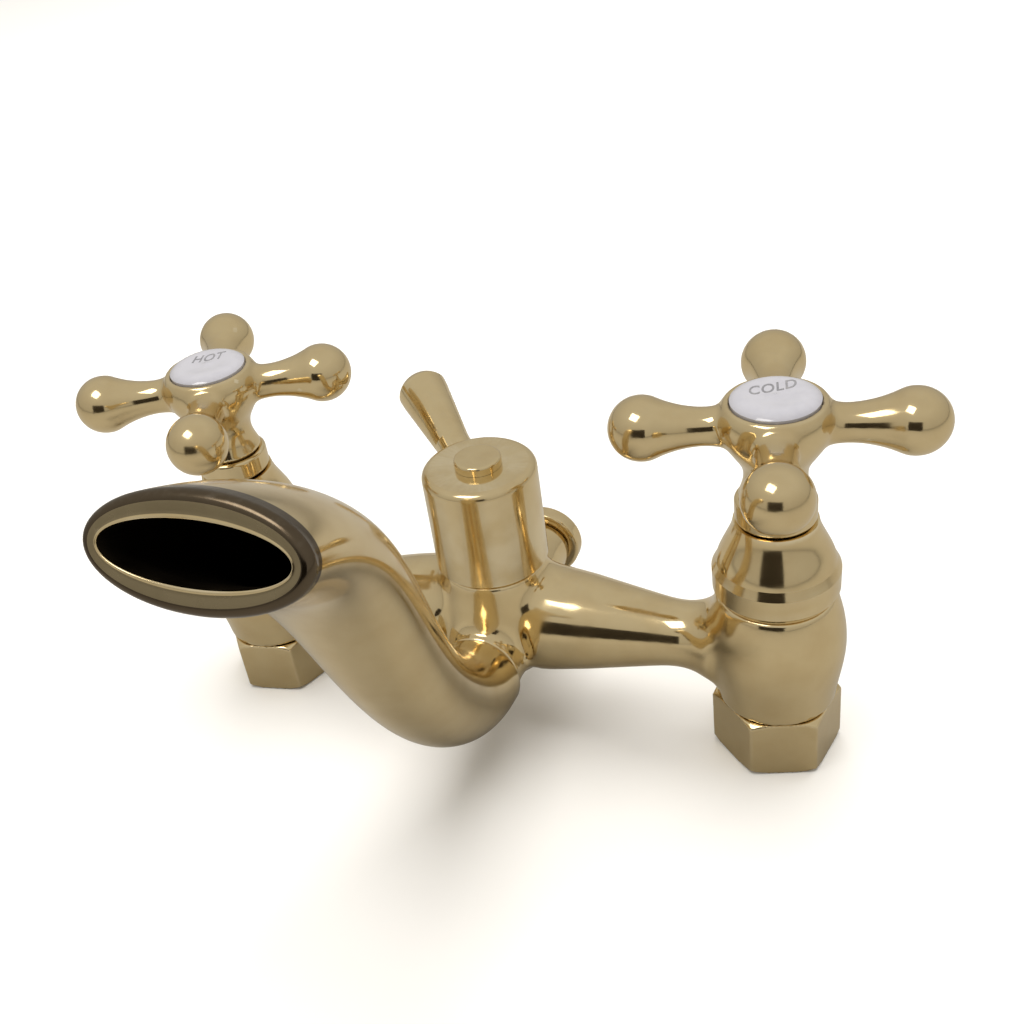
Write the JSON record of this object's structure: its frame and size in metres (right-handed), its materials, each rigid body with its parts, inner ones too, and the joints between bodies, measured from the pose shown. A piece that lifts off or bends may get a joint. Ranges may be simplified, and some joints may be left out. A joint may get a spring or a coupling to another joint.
{
  "type": "bathroom mixer faucet",
  "caption": "Wall-mounted bath and shower mixer with cross handles, a swan-neck spout with a flat oval mouth, a lever diverter, a shower outlet and hexagonal inlet nuts.",
  "frame": {"origin": "on the wall plane, midway between the two inlet axes, where the union nuts' open ends lie", "axes": "+Z out from the wall along the inlet and valve axes, +X from the hot side to the cold side, -Y down the wall, the way the spout pours. The part is stored lying on its back, with its nuts down; on a wall it is turned 90 degrees about X so that -Y points to the floor."},
  "size_m": [0.2265, 0.1612, 0.1449],
  "materials": {
    "polished_brass": "mirror polished, pale gold",
    "machined_brass": "as machined",
    "porcelain": "gloss glaze",
    "disc_ceramic": "lapped",
    "rubber": "satin",
    "steel": "plain"
  },
  "bodies": {
    "faucet_body": {"mixer_body": "polished_brass", "spout": "polished_brass", "shower_outlet": "polished_brass", "spout_nipple": "machined_brass", "spout_o_ring": "rubber", "spout_set_screw": "steel", "diverter_bonnet": "machined_brass", "diverter_sleeve": "machined_brass", "hot_bonnet": "polished_brass", "hot_lock_ring": "polished_brass", "hot_inlet_tail": "machined_brass", "hot_inlet_washer": "rubber", "hot_cartridge_body": "machined_brass", "hot_seat_seal": "rubber", "hot_fixed_disc": "disc_ceramic", "cold_bonnet": "polished_brass", "cold_lock_ring": "polished_brass", "cold_inlet_tail": "machined_brass", "cold_inlet_washer": "rubber", "cold_cartridge_body": "machined_brass", "cold_seat_seal": "rubber", "cold_fixed_disc": "disc_ceramic"},
    "hot_nut_body": {"hot_union_nut": "polished_brass"},
    "hot_handle_body": {"hot_handle": "polished_brass", "hot_handle_screw": "machined_brass", "hot_index_button": "porcelain", "hot_stem": "machined_brass", "hot_stem_o_rings": "rubber", "hot_moving_disc": "disc_ceramic"},
    "cold_nut_body": {"cold_union_nut": "polished_brass"},
    "cold_handle_body": {"cold_handle": "polished_brass", "cold_handle_screw": "machined_brass", "cold_index_button": "porcelain", "cold_stem": "machined_brass", "cold_stem_o_rings": "rubber", "cold_moving_disc": "disc_ceramic"},
    "diverter_control": {"diverter_hub": "polished_brass", "diverter_lever": "polished_brass", "diverter_cap_screw": "polished_brass", "diverter_stem": "machined_brass", "diverter_stem_o_rings": "rubber", "diverter_spool": "machined_brass"}
  },
  "joints": [
    {"name": "hot_handle_turn", "type": "hinge", "parent": "faucet_body", "child": "hot_handle_body", "pos_m": [-0.0762, 0, 0.098], "axis": [0, 0, 1], "range_deg": [0, 90]},
    {"name": "hot_union_nut_spin", "type": "hinge", "parent": "faucet_body", "child": "hot_nut_body", "pos_m": [-0.0762, 0, 0.008], "axis": [0, 0, 1], "continuous": true},
    {"name": "cold_handle_turn", "type": "hinge", "parent": "faucet_body", "child": "cold_handle_body", "pos_m": [0.0762, 0, 0.098], "axis": [0, 0, 1], "range_deg": [-90, 0]},
    {"name": "cold_union_nut_spin", "type": "hinge", "parent": "faucet_body", "child": "cold_nut_body", "pos_m": [0.0762, 0, 0.008], "axis": [0, 0, 1], "continuous": true},
    {"name": "diverter_turn", "type": "hinge", "parent": "faucet_body", "child": "diverter_control", "pos_m": [0, 0, 0.06], "axis": [0, 0, 1], "range_deg": [-90, 0]}
  ]
}
